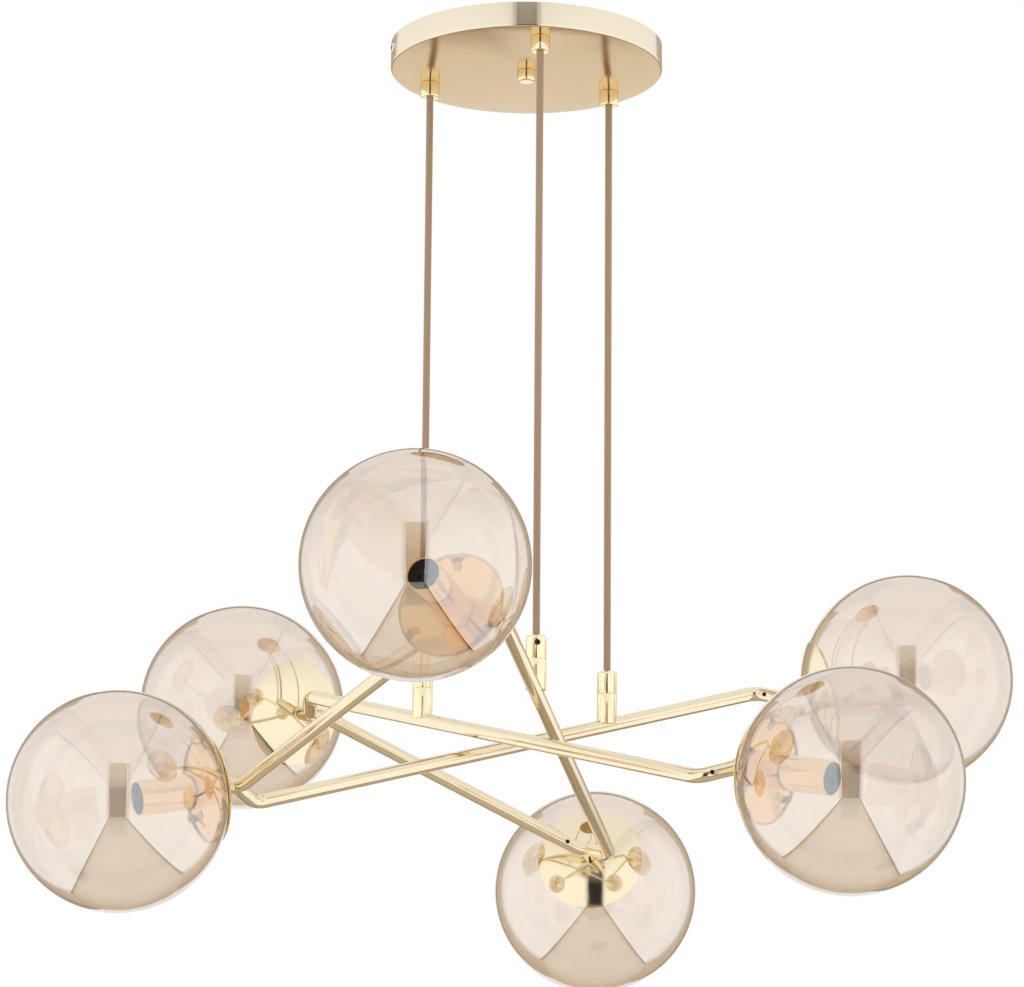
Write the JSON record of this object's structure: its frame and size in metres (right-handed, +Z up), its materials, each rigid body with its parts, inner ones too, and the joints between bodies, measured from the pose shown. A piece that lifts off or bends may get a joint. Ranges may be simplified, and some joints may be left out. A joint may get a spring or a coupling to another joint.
{
  "type": "pendant chandelier",
  "caption": "Pendant chandelier: tinted glass globes on a zig-zag ring of brass tubes, hung from a round canopy on textile cords.",
  "frame": {"origin": "centre of the ceiling strap's screw holes, on the ceiling plane", "axes": "+Z up to the ceiling, -Y to the front, +X to the right of someone who looks at the front"},
  "size_m": [0.6957, 0.708, 0.6426],
  "materials": {
    "polished_gold": "polished pale gold plating",
    "satin_gold": "satin pale gold",
    "champagne_glass": "clear champagne tint with a faint lustre",
    "brown_cord": "woven textile",
    "black_holder": "matt black",
    "zinc_steel": "zinc plated",
    "dark_steel": "blackened",
    "spring_brass": "bright rolled",
    "white_plastic": "moulded"
  },
  "bodies": {
    "mount": {"canopy": "satin_gold", "ceiling_bracket": "zinc_steel", "centre_stud": "zinc_steel", "centre_nut": "polished_gold", "canopy_screws": "polished_gold", "grip_nuts": "zinc_steel", "terminal_block": "white_plastic", "cord_grip_1": "polished_gold", "cord_grip_2": "polished_gold", "cord_grip_3": "polished_gold"},
    "cord_1_body": {"cord_1": "brown_cord"},
    "cord_2_body": {"cord_2": "brown_cord"},
    "cord_3_body": {"cord_3": "brown_cord"},
    "frame": {"long_tube_1": "polished_gold", "long_tube_2": "polished_gold", "long_tube_3": "polished_gold", "short_tube_1": "polished_gold", "short_tube_2": "polished_gold", "short_tube_3": "polished_gold", "knuckle_upper_1": "polished_gold", "knuckle_upper_2": "polished_gold", "knuckle_upper_3": "polished_gold", "knuckle_lower_1": "polished_gold", "knuckle_lower_2": "polished_gold", "knuckle_lower_3": "polished_gold", "clamp_stud_1": "polished_gold", "clamp_stud_2": "polished_gold", "clamp_stud_3": "polished_gold", "clamp_barrel_1": "polished_gold", "clamp_barrel_2": "polished_gold", "clamp_barrel_3": "polished_gold", "clamp_screws": "dark_steel", "tube_screws": "dark_steel", "nipples": "zinc_steel", "glass_clips": "spring_brass", "cap_upper_1": "polished_gold", "cap_upper_2": "polished_gold", "cap_upper_3": "polished_gold", "cap_lower_1": "polished_gold", "cap_lower_2": "polished_gold", "cap_lower_3": "polished_gold", "lamp_sleeve_upper_1": "polished_gold", "lamp_sleeve_upper_2": "polished_gold", "lamp_sleeve_upper_3": "polished_gold", "lamp_sleeve_lower_1": "polished_gold", "lamp_sleeve_lower_2": "polished_gold", "lamp_sleeve_lower_3": "polished_gold", "lampholder_upper_1": "black_holder", "lampholder_upper_2": "black_holder", "lampholder_upper_3": "black_holder", "lampholder_lower_1": "black_holder", "lampholder_lower_2": "black_holder", "lampholder_lower_3": "black_holder"},
    "globe_upper_1": {"glass_upper_1": "champagne_glass"},
    "globe_upper_2": {"glass_upper_2": "champagne_glass"},
    "globe_upper_3": {"glass_upper_3": "champagne_glass"},
    "globe_lower_1": {"glass_lower_1": "champagne_glass"},
    "globe_lower_2": {"glass_lower_2": "champagne_glass"},
    "globe_lower_3": {"glass_lower_3": "champagne_glass"}
  },
  "joints": [
    {"name": "sway", "type": "hinge", "parent": "mount", "child": "cord_3_body", "pos_m": [0.00957, -0.07491, -0.029], "axis": [0, 1, 0], "range_deg": [-8, 8]},
    {"name": "frame_level", "type": "hinge", "parent": "cord_3_body", "child": "frame", "pos_m": [0.00957, -0.07491, -0.448], "axis": [0, 1, 0], "range_deg": [-8, 8]},
    {"name": "cord_1_swing", "type": "hinge", "parent": "mount", "child": "cord_1_body", "pos_m": [0.06009, 0.04575, -0.029], "axis": [0, 1, 0], "range_deg": [-8, 8]},
    {"name": "cord_2_swing", "type": "hinge", "parent": "mount", "child": "cord_2_body", "pos_m": [-0.06966, 0.02917, -0.029], "axis": [0, 1, 0], "range_deg": [-8, 8]},
    {"name": "glass_off_upper_1", "type": "slide", "parent": "frame", "child": "globe_upper_1", "axis": [-0.3489, -0.9138, 0.2079], "range_m": [0, 0.075]},
    {"name": "glass_off_upper_2", "type": "slide", "parent": "frame", "child": "globe_upper_2", "axis": [0.9658, 0.1547, 0.2079], "range_m": [0, 0.075]},
    {"name": "glass_off_upper_3", "type": "slide", "parent": "frame", "child": "globe_upper_3", "axis": [-0.6169, 0.7591, 0.2079], "range_m": [0, 0.075]},
    {"name": "glass_off_lower_1", "type": "slide", "parent": "frame", "child": "globe_lower_1", "axis": [-0.8814, -0.4242, -0.2079], "range_m": [0, 0.075]},
    {"name": "glass_off_lower_2", "type": "slide", "parent": "frame", "child": "globe_lower_2", "axis": [0.808, -0.5512, -0.2079], "range_m": [0, 0.075]},
    {"name": "glass_off_lower_3", "type": "slide", "parent": "frame", "child": "globe_lower_3", "axis": [0.0733, 0.9754, -0.2079], "range_m": [0, 0.075]}
  ],
  "couplings": [
    {"joint": "frame_level", "follows": "sway", "ratio": -1},
    {"joint": "cord_1_swing", "follows": "sway", "ratio": 1},
    {"joint": "cord_2_swing", "follows": "sway", "ratio": 1}
  ]
}
